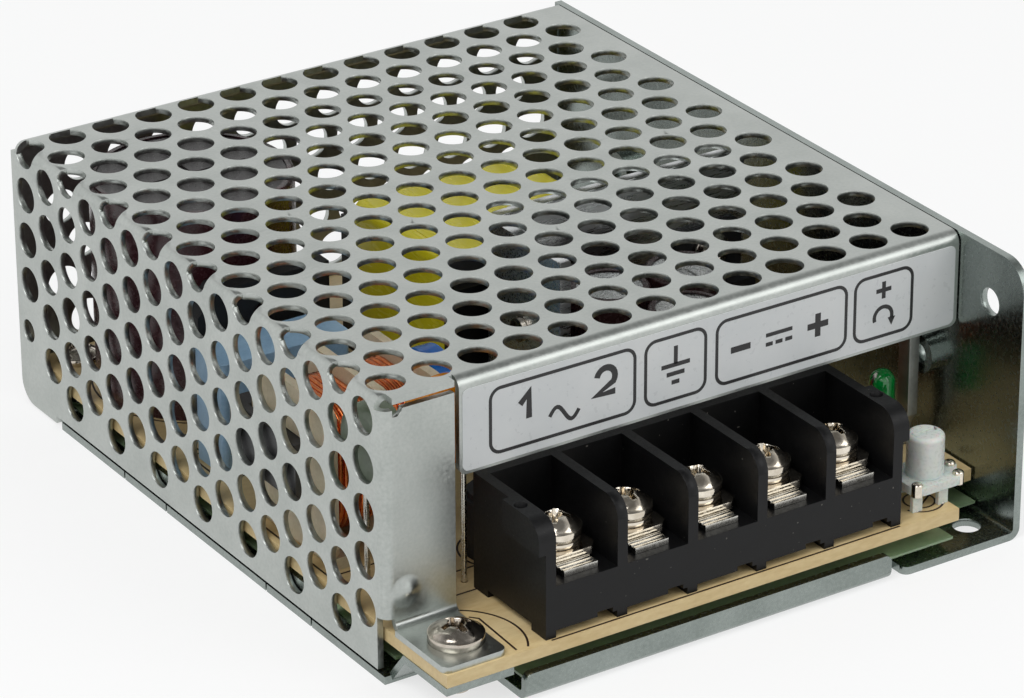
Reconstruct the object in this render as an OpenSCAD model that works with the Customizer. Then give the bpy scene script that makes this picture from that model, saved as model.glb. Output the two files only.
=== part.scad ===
// Mesh case switching power supply: a folded chassis, a perforated cover, a circuit board
// with its parts, and a five-way screw terminal block in an open bay at the front.
// X runs right across the terminals, Y runs from the terminals to the rear wall, Z is up.
// The origin is the centre of the underside.

/* [Case] */
// Width of the case across the terminals
case_w = 82; // [81:0.5:90]
// Length of the case from its front edge to its rear wall
case_l = 99; // [98:0.5:110]
// Height of the case
case_h = 36; // [36:0.5:44]
// Depth of the open bay in front of the cover
bay_l = 12.2; // [12:0.1:13.5]
// Thickness of the chassis sheet
chassis_t = 1; // [0.8:0.1:1.2]
// Thickness of the cover sheet
cover_t = 0.8; // [0.6:0.1:1]
// Outside radius of every fold
fold_r = 1.5; // [1.3:0.1:2]
// Gap where two sheets meet
seam = 0.15; // [0.1:0.05:0.3]

/* [Vents] */
// Diameter of a vent
vent_d = 4.6; // [4:0.1:4.8]
// Distance between vents along a row
vent_pitch = 6.11; // [5.9:0.01:6.6]
// Distance from the cover's front to the first row of vents
first_row = 4.07; // [4:0.01:4.6]
// Distance from the case's right side to the first vent of a row
first_vent = 5.5; // [5:0.1:6]

/* [Cover front] */
// Gap between the terminal block and the lip that carries the legends
lip_gap = 2.5; // [2:0.1:4]
// Width of the plain strip at the left of the lip
strip_w = 9.7; // [9:0.1:11]
// Length of the fixing tab under the strip
tab_l = 11.2; // [10.5:0.1:11.2]
// Distance from the case's front edge to the tab's screw
tab_screw_y = 6; // [5.5:0.1:6.5]

/* [Chassis] */
// Height of the stiffening lip along the front edge
front_lip_h = 3.5; // [2.5:0.1:3.8]
// Length of that lip
front_lip_l = 51.6; // [45:0.1:52]
// Corner radius of the side wall's front corner
wall_corner_r = 4; // [3:0.5:6]
// Diameter of the plain mounting holes
fixing_d = 3.5; // [3:0.1:4]
// Core diameter of the threaded side mounting holes
tapped_d = 2.5; // [2.4:0.05:2.6]
// Distance between the threaded side holes
side_hole_gap = 65; // [60:1:70]
// Height of the threaded side holes
side_hole_z = 18.4; // [16:0.1:20]

/* [Board] */
// Height of the board's underside
board_lift = 4.7; // [4.6:0.1:6]
// Thickness of the board
board_t = 1.6; // [1.2:0.1:2]
// Height of the insulating film's underside
film_lift = 2; // [1.6:0.1:2.4]

/* [Terminals] */
// Number of terminals
ways = 5; // [5:1:5]
// Distance between terminals
way_pitch = 9.76; // [9.6:0.02:9.9]
// Thickness of the walls between terminals
way_wall = 1.4; // [1.2:0.1:1.5]
// Height of the terminal block
block_h = 15; // [14:0.1:15.5]
// Depth of the terminal block
block_l = 15; // [14.6:0.1:15.4]
// Height of the shelf that the terminal plates lie on
shelf_h = 6.6; // [6:0.1:7]
// Head diameter of a terminal screw
head_d = 6.2; // [5.8:0.1:6.4]
// Thread diameter of a terminal screw
thread_d = 3.4; // [3:0.1:3.5]
// Length of a terminal screw below its head
screw_l = 7.6; // [7:0.1:8]
// Side of the square clamp plate
clamp_w = 7.2; // [6.8:0.1:7.4]
// Width of the terminal plate under the clamp
plate_w = 4.6; // [4:0.1:5]

/* [Parts on the board] */
// Diameter of the mains reservoir capacitor
bulk_d = 25.4; // [22:0.2:26]
// Gap between the reservoir capacitor and the cover
headroom = 1; // [0.8:0.1:3]
// Diameter of an output capacitor
output_d = 10; // [8:0.5:10]
// Height of an output capacitor
output_h = 20; // [16:0.5:25]
// Width of the transformer
transformer_w = 25.5; // [24:0.5:26]
// Length of the transformer
transformer_l = 27; // [24:0.5:28]
// Height of the transformer
transformer_h = 21.2; // [18:0.1:24]
// Thickness of the heat spreader
spreader_t = 1.6; // [1.2:0.1:2]
// Height of the choke's end flanges
choke_h = 20; // [18:0.5:22]
// Depth of the choke's end flanges
choke_d = 19; // [17:0.5:20]
// Diameter of the adjuster's knob
knob_d = 4.6; // [4:0.1:5]
// Height of the adjuster's knob
knob_h = 5.3; // [4.5:0.1:6]

/* [Hidden] */
$fn = 48;

// Faces of the case
left = -case_w / 2;
right = case_w / 2;
front = -case_l / 2;
rear = case_l / 2;
cover_front = front + bay_l;
wall_in = right - chassis_t;
cover_right = wall_in - seam;

// Board
board_top = board_lift + board_t;
board_left = left + cover_t + 0.3;
board_right = wall_in - 0.3;
board_front = front + 0.7;
board_rear = rear - cover_t - 1.1;
notch_y = front + 8;
lead_tail = 1.2;
lead_r = 0.35;
lead_hole_r = 0.45;

// Cover
row_step = vent_pitch * sqrt(3) / 2;
vent_r = vent_d / 2;
fold_loss = 0.47;
rows = floor((case_l - bay_l - first_row - vent_r - 0.9) / row_step) + 1;
side_drop = 1.3;
roof = case_h - cover_t;
lip_bottom = board_top + block_h + lip_gap;
strip_right = left + strip_w;
lip_left = strip_right + 0.6;
slit_h = 0.7;
tab_left = left + 1;
tab_x = left + 5.7;
skirt_y = rear - 8.9;

// Terminal block, set a little to the left of the middle
ear = 0.9;
shelf_z = board_top + shelf_h;
block_w = ways * way_pitch + way_wall;
block_left = -1.2 - block_w / 2;
block_right = block_left + block_w + ear;
block_front = front + 1.3;
block_back = block_front + block_l;
screw_y = block_front + 6.5;
plate_t = 0.8;
clamp_t = 0.95;
washer_t = 0.8;
rest_gap = 0.05;
running_gap = 0.06;
clamp_z = shelf_z + plate_t + rest_gap;
washer_z = clamp_z + clamp_t;
head_z = washer_z + washer_t;

// Sheet folds: a quarter of a tube, t thick, whose outside radius is fold_r
module quarter(t) {
    intersection() {
        difference() {
            circle(fold_r);
            circle(fold_r - t);
        }
        square(fold_r);
    }
}

module fold_x(len, t, turn) {
    rotate([90, 0, 90]) linear_extrude(len) rotate(turn) quarter(t);
}

module fold_y(len, t, turn) {
    translate([0, len, 0]) rotate([90, 0, 0]) linear_extrude(len) rotate(turn) quarter(t);
}

module fold_z(len, t, turn) {
    linear_extrude(len) rotate(turn) quarter(t);
}

// A flat outline drawn in Y and Z, from x to x + t
module side_sheet(x, t) {
    translate([x, 0, 0]) rotate([90, 0, 90]) linear_extrude(t) children();
}

// A flat outline drawn in X and Z, from y to y + t
module front_sheet(y, t) {
    translate([0, y + t, 0]) rotate([90, 0, 0]) linear_extrude(t) children();
}

// A rectangle from p to q with round corners
module round_rect(p, q, r) {
    translate([p[0] + r, p[1]]) square([q[0] - p[0] - 2 * r, q[1] - p[1]]);
    translate([p[0], p[1] + r]) square([q[0] - p[0], q[1] - p[1] - 2 * r]);
    for (x = [p[0] + r, q[0] - r], y = [p[1] + r, q[1] - r]) translate([x, y]) circle(r);
}

module rect(p, q) {
    translate(p) square([q[0] - p[0], q[1] - p[1]]);
}

module tube(h, r_out, r_in) {
    linear_extrude(h) difference() {
        circle(r_out);
        circle(r_in);
    }
}

// Vents lie on one 60 degree lattice over the unfolded sheet; u runs left from the case's right side
function row_y(j) = cover_front + first_row + j * row_step;
function vent_u(i, j) = right - first_vent - (j % 2) * vent_pitch / 2 - i * vent_pitch;
function vent_z(u) = case_h - (left - u) - fold_loss;
top_columns = floor((case_w - first_vent) / vent_pitch) + 1;
all_columns = top_columns + floor(case_h / vent_pitch) + 1;
fold_vent_x = left + fold_r - fold_r * sqrt(0.5);

function crosses_fold(u) = abs(u - left) < 1.6;
function on_top(u) = u > left + 1.6;
function on_side(u, j) = u < left - 1.6 && vent_z(u) - vent_r > side_drop + 0.9
    && !(row_y(j) > rear - 4 && vent_z(u) < 13);

module top_vents() {
    for (j = [0 : rows - 1], i = [0 : all_columns]) {
        u = vent_u(i, j);
        if (on_top(u)) translate([u, row_y(j)]) circle(vent_r);
        if (crosses_fold(u)) translate([fold_vent_x, row_y(j)]) circle(vent_r);
    }
}

module side_vents() {
    for (j = [0 : rows - 1], i = [0 : all_columns]) {
        u = vent_u(i, j);
        if (on_side(u, j)) translate([row_y(j), vent_z(u)]) circle(vent_r);
        if (crosses_fold(u)) translate([row_y(j), case_h - (fold_vent_x - left)]) circle(vent_r);
    }
}

// The vents that reach into the fold between the top and the side
module fold_vents() {
    reach = 2 * fold_r;
    for (j = [0 : rows - 1], i = [0 : all_columns]) {
        u = vent_u(i, j);
        if (crosses_fold(u)) translate([left + fold_r, row_y(j), case_h - fold_r])
            rotate([0, -45, 0]) cylinder(h = reach, r = vent_r);
        if (on_top(u) && u - vent_r < left + fold_r)
            translate([u, row_y(j), case_h - fold_r]) cylinder(h = reach, r = vent_r);
        if (u < left - 1.6 && vent_z(u) + vent_r > case_h - fold_r)
            translate([left + fold_r, row_y(j), vent_z(u)]) rotate([0, -90, 0])
                cylinder(h = reach, r = vent_r);
    }
}

module rear_vents() {
    z_rows = floor((case_h - 5.2 - vent_r - side_drop - 1) / row_step);
    for (k = [0 : z_rows], i = [0 : top_columns]) {
        u = vent_u(i, k + rows);
        if (u - vent_r > left + cover_t + 1.5)
            translate([u, case_h - 5.2 - k * row_step]) circle(vent_r);
    }
}

module mesh_cover() {
    color([0.74, 0.76, 0.75]) union() {
        // Top, with a flat front edge over the strip's slit
        translate([0, 0, roof]) linear_extrude(cover_t) difference() {
            union() {
                rect([left + fold_r, cover_front + fold_r], [cover_right, rear - fold_r]);
                rect([left + fold_r, cover_front], [strip_right, cover_front + fold_r]);
            }
            top_vents();
        }
        // Fold to the side
        difference() {
            translate([left + fold_r, cover_front + fold_r, case_h - fold_r])
                fold_y(rear - cover_front - 2 * fold_r, cover_t, 90);
            fold_vents();
        }
        // Side, with a deeper skirt at its rear end
        side_sheet(left, cover_t) difference() {
            union() {
                rect([cover_front + fold_r, side_drop], [skirt_y + 3, case_h - fold_r]);
                rect([skirt_y, 3.3], [rear, case_h - fold_r]);
                rect([skirt_y, 0.3], [rear - 3, 3.3]);
                translate([rear - 3, 3.3]) circle(3);
            }
            side_vents();
            translate([rear - 2.5, 10.6]) circle(1.5);
        }
        // Fold round the front corner to the plain strip, which has a small stamped dimple
        strip_top = case_h - cover_t - slit_h;
        strip_foot = board_top + fold_r;
        translate([left + fold_r, cover_front + fold_r, strip_foot + 0.3])
            fold_z(strip_top - strip_foot - 0.3, cover_t, 180);
        front_sheet(cover_front, cover_t) difference() {
            rect([left + fold_r, strip_foot], [strip_right, strip_top]);
            translate([left + 1.9, strip_top]) circle(0.9);
        }
        translate([left + 3, cover_front + 1.5, board_top + 4.9]) rotate([90, 0, 0])
            intersection() {
                sphere(2.1);
                cylinder(h = 3, r = 1.45);
            }
        // Fixing tab, folded forward on to the board
        translate([left + fold_r, cover_front - fold_r + cover_t, board_top + fold_r])
            fold_x(strip_right - left - fold_r, cover_t, 270);
        translate([0, 0, board_top]) linear_extrude(cover_t) difference() {
            union() {
                round_rect([tab_left, cover_front - tab_l], [strip_right - 0.3, cover_front - 4], 1);
                rect([tab_left, cover_front - 6], [strip_right - 0.3, cover_front - fold_r + cover_t]);
            }
            translate([tab_x, front + tab_screw_y]) circle(1.6);
        }
        // Legend lip, folded down along the front
        translate([lip_left, cover_front + fold_r, case_h - fold_r])
            fold_x(cover_right - lip_left, cover_t, 90);
        front_sheet(cover_front, cover_t) {
            rect([lip_left, lip_bottom + 1], [cover_right, case_h - fold_r]);
            round_rect([lip_left, lip_bottom], [cover_right, lip_bottom + 4], 1);
        }
        // Rear wall
        rear_left = left + cover_t + seam;
        translate([left + fold_r, rear - fold_r, case_h - fold_r])
            fold_x(cover_right - left - fold_r, cover_t, 0);
        front_sheet(rear - cover_t, cover_t) difference() {
            rect([rear_left, side_drop], [cover_right, case_h - fold_r]);
            rear_vents();
        }
    }
}

// Chassis
slot_left = left + 10;
slot_right = left + 11.2;
lip_end = slot_right + front_lip_l;
ledge = cover_t + seam;
locating_h = 4.1;
locating_w = 10;
stand_off = [[left + 5.5, rear - 5], [right - 6.4, rear - 7.5], [right - 7, cover_front + 1.4]];
side_tabs = [for (y = [-16, 18]) [left + ledge, y]];
rear_tabs = [for (x = [-14, 14]) [x, rear - ledge]];
base_hole = [right - 4.5, front + 4.5];

// A locating tab cut from the base and folded up; the sheet it springs from lies towards -X
module locating_tab() {
    w = locating_w;
    translate([0, -w / 2, fold_r]) cube([chassis_t, w, locating_h - fold_r]);
    translate([fold_r, -w / 2, fold_r]) fold_y(w, chassis_t, 180);
}

// The window that the tab leaves beside it
module tab_window() {
    w = locating_w + 0.6;
    rect([fold_r, -w / 2], [fold_r + locating_h, w / 2]);
    for (s = [-1, 1]) translate([0, s * (w / 2 - 0.15)]) square([2 * fold_r, 0.3], center = true);
}

// A dome pressed up from the base to carry the board
module pressed_boss(open) {
    rise = board_lift;
    difference() {
        cylinder(h = rise, r1 = 4.6, r2 = 3.2);
        translate([0, 0, -0.01]) cylinder(h = rise - chassis_t, r1 = 3.7, r2 = 2.5);
        if (open) cylinder(h = 3 * rise, r = 1.55, center = true);
    }
}

module wall_outline() {
    r = wall_corner_r;
    rect([front + r, fold_r], [rear, case_h]);
    rect([front, fold_r], [front + 2 * r, case_h - r]);
    translate([front + r, case_h - r]) circle(r);
}

module chassis() {
    color([0.66, 0.69, 0.69]) union() {
        linear_extrude(chassis_t) difference() {
            union() {
                rect([left, cover_front], [right - fold_r, rear]);
                rect([slot_right, front + fold_r], [lip_end, cover_front + 1]);
                rect([lip_end - 1, front + 2.5], [lip_end + 4, cover_front + 1]);
                round_rect([lip_end + 1.9, front], [lip_end + 8, cover_front], 1);
                rect([lip_end + 5, front], [right - fold_r, cover_front + 1]);
            }
            rect([left - 1, skirt_y - 1.4], [left + ledge, rear + 1]);
            for (p = side_tabs) translate(p) tab_window();
            for (p = rear_tabs) translate(p) rotate(-90) tab_window();
            for (p = stand_off) translate(p) circle(3.7);
            translate(base_hole) circle(fixing_d / 2);
        }
        for (p = side_tabs) translate(p) locating_tab();
        for (p = rear_tabs) translate(p) rotate(-90) locating_tab();
        for (k = [0 : 2]) translate(stand_off[k]) pressed_boss(k < 2);
        // Front stiffening lip
        translate([slot_right, front + fold_r, fold_r]) fold_x(front_lip_l, chassis_t, 180);
        front_sheet(front, chassis_t) {
            rect([slot_right, fold_r], [lip_end, front_lip_h - 1]);
            round_rect([slot_right, fold_r - 0.5], [lip_end, front_lip_h], 0.99);
        }
        // Raised platform for the cover's fixing tab, with a drawn and tapped neck
        difference() {
            union() {
                side_sheet(left + 1, slot_left - left - 1) polygon([
                    [cover_front + 0.3, 0], [cover_front - 2.7, board_lift - chassis_t],
                    [board_front, board_lift - chassis_t], [board_front, board_lift],
                    [cover_front - 2.4, board_lift], [cover_front + 0.6, chassis_t]]);
                translate([tab_x, front + tab_screw_y, board_lift - 2.4]) cylinder(h = 2, r = 2.4);
            }
            translate([tab_x, front + tab_screw_y, 0]) cylinder(h = board_lift + 1, r = 1.55);
        }
        // Side wall
        translate([right - fold_r, front, fold_r]) fold_y(case_l, chassis_t, 270);
        difference() {
            union() {
                side_sheet(wall_in, chassis_t) difference() {
                    wall_outline();
                    translate([front + 6.2, case_h - 6.8]) circle(fixing_d / 2);
                }
                for (s = [-1, 1]) translate([wall_in - 1.6, 0.2 + s * side_hole_gap / 2, side_hole_z])
                    rotate([0, 90, 0]) cylinder(h = 1.8, r = 2.5);
            }
            for (s = [-1, 1]) translate([wall_in - 3, 0.2 + s * side_hole_gap / 2, side_hole_z])
                rotate([0, 90, 0]) cylinder(h = chassis_t + 6, r = tapped_d / 2);
        }
    }
}

// Places of the parts on the board, from the left side and the rear
bulk_h = roof - headroom - board_top;
bulk_at = [board_left + 14.6, board_rear - 15.6];
bridge_w = 18.5;
bridge_t = 3.6;
bridge_at = [board_left + 5, bulk_at[1] - bulk_d / 2 - 1.3 - bridge_t];
line_cap_size = [18, 6.8, 15];
line_cap_at = [board_left + 3.3, bridge_at[1] - 1.6 - line_cap_size[1]];

// From the left side and the terminal block
thermistor_r = 5.5;
thermistor_z = roof - 9.6;
thermistor_at = [board_left + 3.4, block_back + 4.2];
varistor_r = 5.2;
varistor_z = roof - 7.3;
varistor_at = [thermistor_at[0] + 7.6, block_back + 1.9];
choke_w = 16;
choke_front = thermistor_at[1] + thermistor_r;
choke_slack = line_cap_at[1] - choke_front - choke_d;
choke_at = [board_left + 9.6, choke_front + 0.18 * choke_slack + choke_d / 2];
fuse_at = [block_left + 7.5, block_back + 6.4];
// Each disc's place, the height of its centre, and its radius
disc_places = [[choke_at[0] + 14, choke_at[1] + 4, 19, 5], [choke_at[0] + 20, choke_at[1] - 1.4, 14, 4]];

// Round the heat spreader
spreader_left = -2.8;
spreader_right = board_right - 4.7;
spreader_y = 1.2;
spreader_top = roof - 0.7;
spreader_leg = 17;
switch_at = [spreader_left + spreader_t, spreader_y - 8.8];
rectifier_at = [spreader_right - 6.2, spreader_y - spreader_t];
transformer_at = [spreader_left - 2.8, spreader_y + 1.2];
output_gap = 0.4;
output_step = output_d + output_gap;
output_1_at = [spreader_left + 6.1 + output_gap + output_d / 2, spreader_y - 5.6 - output_d / 2];
output_2_at = output_1_at + [output_step, -0.9];
output_places = [output_1_at, output_2_at, output_1_at + output_step * [0.42, -1]];
output_choke_at = output_2_at + [7.9, -6.2];
opto_at = [spreader_left - 6.2, block_back + 12.3];
chip_at = [spreader_left - 6.7, block_back + 5];

// Beside the terminal block and the side wall
adjuster_at = [block_right + 5.6, front + 5.3];
notch_x = adjuster_at[0] + 1.8;
led_at = [right - 7.5, cover_front + 5.8];
strap_at = [right - 4.6, cover_front + 6];
strap_t = 1.6;
strap_top = 27;

// Lead places, shared by each part and the board's holes
bulk_leads = [for (s = [-1, 1]) bulk_at + [5 * s, 0]];
bridge_leads = [for (k = [0 : 3]) bridge_at + [bridge_w / 2 + (k - 1.5) * 4.6, bridge_t / 2]];
line_cap_leads = [for (s = [-1, 1]) line_cap_at + [line_cap_size[0] / 2 + 7.5 * s, line_cap_size[1] / 2]];
choke_leads = [for (sx = [-1, 1], sy = [-1, 1]) choke_at + [6 * sx, 5 * sy]];
thermistor_leads = [for (s = [-1, 1]) thermistor_at + [0, 2.5 * s]];
varistor_leads = [for (s = [-1, 1]) varistor_at + [2.5 * s, 0]];
fuse_leads = [for (s = [-1, 1]) fuse_at + [2.5 * s, 0]];
disc_leads = [for (p = disc_places, s = [-1, 1]) [p[0], p[1] + 3 * s]];
transformer_leads = [for (k = [0 : 4], y = [1.2, transformer_l - 1.2])
    transformer_at + [transformer_w / 2 + (k - 2) * 5, y]];
device_leads = concat([for (k = [-1 : 1]) switch_at + [2.4, 2.54 * k]],
    [for (k = [-1 : 1]) rectifier_at + [2.54 * k, -2.4]]);
output_leads = [for (p = output_places, s = [-1, 1]) p + [2.5 * s, 0]];
output_choke_leads = [for (s = [-1, 1]) output_choke_at + [2.5 * s, 0]];
led_leads = [for (s = [-1, 1]) led_at + [1.27 * s, 0]];
adjuster_leads = [adjuster_at + [-2.9, -2.3], adjuster_at + [0.9, -2.3], adjuster_at + [-1, 2.6]];
opto_leads = [for (sx = [-1, 1], sy = [-1, 1]) opto_at + [3.81 * sx, 1.27 * sy]];
chip_leads = [for (k = [0 : 3], s = [-1, 1]) chip_at + [(k - 1.5) * 2.54, 3.81 * s]];
resistor_places = [for (k = [0 : 3]) [board_right - 9 + (k % 2) * 1.2, spreader_y + 6.8 + 5 * k]];
resistor_leads = [for (p = resistor_places, s = [-1, 1]) p + [5 * s, 0]];
all_leads = concat(bulk_leads, bridge_leads, line_cap_leads, choke_leads, thermistor_leads,
    varistor_leads, fuse_leads, disc_leads, transformer_leads, device_leads, output_leads,
    output_choke_leads, led_leads, adjuster_leads, opto_leads, chip_leads, resistor_leads);

// Straight leads from below the board up to height z
module leads(places, z) {
    for (p = places) translate([p[0], p[1], board_lift - lead_tail])
        cylinder(h = z - board_lift + lead_tail, r = lead_r, $fn = 16);
}

function way_x(k) = block_left + way_wall / 2 + (k - 0.5) * way_pitch;

module circuit_board() {
    color([0.85, 0.78, 0.6]) translate([0, 0, board_lift]) linear_extrude(board_t) difference() {
        union() {
            rect([board_left, board_front], [notch_x, board_rear]);
            rect([notch_x - 1, notch_y], [board_right, board_rear]);
        }
        translate([tab_x, front + tab_screw_y]) circle(1.7);
        for (k = [0, 1]) translate(stand_off[k]) circle(1.7);
        for (p = all_leads) translate(p) circle(lead_hole_r, $fn = 16);
        for (k = [1 : ways]) translate([way_x(k) - 1.2, block_back - 4]) square([2.4, 1.2]);
        for (x = spreader_feet) translate([x - 1.1, spreader_y - spreader_t - 0.1])
            square([2.2, spreader_t + 0.2]);
        translate([strap_at[0] - 0.1, strap_at[1] - 0.7]) square([strap_t + 0.2, 1.4]);
    }
}
spreader_feet = [spreader_left + 6, spreader_right - 14];

module insulating_film() {
    color([0.72, 0.8, 0.7]) translate([0, 0, film_lift]) linear_extrude(0.3) difference() {
        union() {
            rect([slot_right + 0.8, front + chassis_t + 0.3], [notch_x - 0.3, board_rear - 1.5]);
            rect([left + ledge + chassis_t + 0.3, cover_front + 1.2], [board_right, board_rear - 1.5]);
            rect([notch_x - 1, notch_y - 1], [board_right, board_rear - 1.5]);
        }
        for (p = stand_off) translate(p) circle(4.6);
    }
}

// Pan head with a cross recess; its seat is at z = 0 and its shank runs down
module pan_screw(head_r, head_h, shank_r, shank_l) {
    dome_r = (head_r * head_r + head_h * head_h * 0.36) / (1.2 * head_h);
    difference() {
        union() {
            cylinder(h = head_h * 0.45, r = head_r);
            intersection() {
                translate([0, 0, head_h - dome_r]) sphere(dome_r);
                translate([0, 0, head_h * 0.45]) cylinder(h = head_h, r = head_r);
            }
            translate([0, 0, -shank_l]) cylinder(h = shank_l + 0.1, r = shank_r);
        }
        for (a = [0, 90]) rotate(a) translate([-head_r * 0.55, -head_r * 0.11, head_h * 0.35])
            cube([head_r * 1.1, head_r * 0.22, head_h]);
        translate([0, 0, head_h * 0.35]) cylinder(h = head_h, r1 = head_r * 0.16, r2 = head_r * 0.4);
    }
}

module cover_screw() {
    color([0.72, 0.71, 0.68]) translate([tab_x, front + tab_screw_y, board_top + cover_t])
        pan_screw(3.3, 2.3, 1.5, 6.2);
}

module board_screws() {
    color([0.72, 0.71, 0.68]) for (k = [0, 1])
        translate([stand_off[k][0], stand_off[k][1], board_top]) pan_screw(2.7, 1.9, 1.5, 5.4);
}

// Terminal block
module block_profile() {
    r = 2.6;
    rect([block_front, board_top + 0.9], [block_back, shelf_z]);
    rect([block_front + r, shelf_z - 1], [block_back, board_top + block_h]);
    rect([block_front, shelf_z - 1], [block_front + 2 * r, board_top + block_h - r]);
    translate([block_front + r, board_top + block_h - r]) circle(r);
}

module terminal_housing() {
    top = board_top + block_h;
    color([0.1, 0.1, 0.11]) difference() {
        union() {
            side_sheet(block_left, block_w)
                rect([block_front, board_top + 0.9], [block_back, shelf_z]);
            side_sheet(block_left, block_w)
                rect([block_back - 1.4, shelf_z - 1], [block_back, top]);
            for (k = [0 : ways]) side_sheet(block_left + k * way_pitch, way_wall) block_profile();
            for (k = [0 : ways], y = [block_front, block_back - 3])
                translate([block_left + k * way_pitch, y, board_top]) cube([way_wall, 3, 1.5]);
            for (x = [block_left - ear, block_left + block_w - 0.2])
                side_sheet(x, ear + 0.2) intersection() {
                    block_profile();
                    rect([block_front, top - 4.1], [block_front + 7.6, top]);
                }
        }
        for (k = [1 : ways]) translate([way_x(k), screw_y, board_top + 1.6])
            cylinder(h = shelf_h, r = thread_d / 2 + 0.4);
        for (k = [1 : ways]) translate([way_x(k) - 1.2, block_back - 4.05, board_top - 1])
            cube([2.4, 1.3, shelf_h + 1]);
        for (x = [block_left + 0.1, block_left + block_w - 0.1]) translate([x, block_front + 5.3, top - 1.2])
            cylinder(h = 2, r = 0.8);
        // Slots under the front wall between the feet
        for (k = [1 : ways]) translate([way_x(k) + way_pitch / 2 - 3.4, block_front - 1, board_top - 1])
            cube([2.1, 2.4, 2.5]);
    }
}

module terminal_plates() {
    color([0.78, 0.76, 0.7]) for (k = [1 : ways]) translate([way_x(k), 0, 0]) difference() {
        union() {
            translate([-plate_w / 2, block_front + 1.2, shelf_z])
                cube([plate_w, block_l - 1.2 - 1.4 - 0.4, plate_t]);
            translate([-1, block_back - 3.8, board_lift - lead_tail])
                cube([2, 0.8, shelf_z + 0.1 - board_lift + lead_tail]);
        }
        translate([0, screw_y, shelf_z - 0.5]) cylinder(h = 2, r = thread_d / 2 + running_gap);
        for (j = [0 : 1]) translate([-plate_w, block_front + 1.7 + 0.7 * j, shelf_z + plate_t - 0.15])
            cube([2 * plate_w, 0.3, 1]);
    }
}

// Square clamp plate with cut corners and a ribbed underside
module clamp_plate(k) {
    half = clamp_w / 2;
    color([0.8, 0.79, 0.75]) translate([way_x(k), screw_y, clamp_z]) difference() {
        linear_extrude(clamp_t) difference() {
            intersection() {
                square(clamp_w, center = true);
                rotate(45) square(clamp_w * 1.22, center = true);
            }
            circle(thread_d / 2 + running_gap);
        }
        for (y = [-half + 0.9 : 0.9 : half - 0.6]) translate([-half - 1, y - 0.15, -1])
            cube([clamp_w + 2, 0.3, 1.2]);
    }
}

// Split spring washer
module lock_washer(k) {
    color([0.78, 0.77, 0.73]) translate([way_x(k), screw_y, washer_z]) linear_extrude(washer_t)
        difference() {
            circle(head_d / 2 - 0.15);
            circle(thread_d / 2 + running_gap);
            rotate(40) translate([0, -0.25]) square([head_d, 0.5]);
        }
}

module terminal_screw(k) {
    color([0.82, 0.81, 0.78]) translate([way_x(k), screw_y, head_z])
        rotate(20 + 35 * k) pan_screw(head_d / 2, 2.7, thread_d / 2, screw_l);
}

// Output voltage adjuster
adjuster_z = board_top + 2.3;
module adjuster_body() {
    color([0.85, 0.85, 0.82]) {
        difference() {
            union() {
                translate([adjuster_at[0], adjuster_at[1], adjuster_z]) linear_extrude(1.1) {
                    round_rect([-3.8, -3.3], [3.8, 3.3], 1.4);
                    translate([3.2, 0]) circle(1.3);
                }
                for (p = adjuster_leads) translate([p[0] - 0.7, p[1] - 0.3, board_top])
                    cube([1.4, 0.6, adjuster_z - board_top + 0.3]);
                leads(adjuster_leads, board_top + 0.2);
            }
            translate([adjuster_at[0], adjuster_at[1], board_top]) cylinder(h = 8, r = 1.06);
        }
    }
}

module adjuster_knob() {
    knob_z = adjuster_z + 1.15;
    color([0.93, 0.93, 0.9]) translate([adjuster_at[0], adjuster_at[1], 0]) difference() {
        union() {
            translate([0, 0, knob_z]) rotate_extrude() {
                square([knob_d / 2, knob_h - 0.6]);
                square([knob_d / 2 - 0.6, knob_h]);
                translate([knob_d / 2 - 0.6, knob_h - 0.6]) circle(0.6);
            }
            translate([0, 0, adjuster_z - 0.8]) cylinder(h = 2.5, r = 1);
        }
        translate([-knob_d / 2 + 0.7, -0.35, knob_z + knob_h - 1]) cube([knob_d - 1.4, 0.7, 2]);
    }
}

module status_led() {
    base = board_top + 5.4;
    color([0.1, 0.6, 0.25]) union() {
        translate([led_at[0], led_at[1], base]) rotate_extrude() {
            square([1.95, 1]);
            square([1.6, 3.9]);
            translate([0, 3.9]) intersection() {
                circle(1.6);
                square(1.6);
            }
        }
        leads(led_leads, base + 0.2);
    }
}

// Earth strap: a bent strip from the board to the side wall, beside the lamp
module earth_strap() {
    y = strap_at[1];
    arm = 2.2;
    color([0.6, 0.62, 0.6]) {
        side_sheet(strap_at[0], strap_t) polygon([[y - 0.6, board_lift - lead_tail],
            [y + 0.6, board_lift - lead_tail], [y + 0.6, strap_top], [y + 0.6 - arm, strap_top],
            [y + 0.6 - arm, board_top + 4.2], [y - 0.6, board_top + 2.7]]);
        translate([strap_at[0], y + 0.6 - arm, strap_top - 1]) cube([wall_in - strap_at[0], arm, 1]);
        translate([wall_in - 1, y - 3, strap_top - 1]) cube([1, 6, 5]);
    }
}

// Line filter choke: a two-section bobbin on a closed core
choke_z = board_top + 1 + choke_h / 2;
module choke_core() {
    limb = 7.6;
    out = choke_w / 2 + 1.4;
    color([0.16, 0.16, 0.17]) translate([choke_at[0], choke_at[1], choke_z]) {
        translate([-out, -limb / 2, -limb / 2]) cube([2 * out, limb, limb]);
        translate([-out, choke_d / 2 - 1.2, -limb / 2]) cube([2 * out, 2.8, limb]);
        for (s = [-1, 1]) translate([s * (out - 0.6) - 0.6, -limb / 2, -limb / 2])
            cube([1.2, limb / 2 + choke_d / 2 + 1.6, limb]);
    }
}

module choke_section(w, h, r, t) {
    side_sheet(0, t) round_rect([-w / 2, -h / 2], [w / 2, h / 2], r);
}

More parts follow.
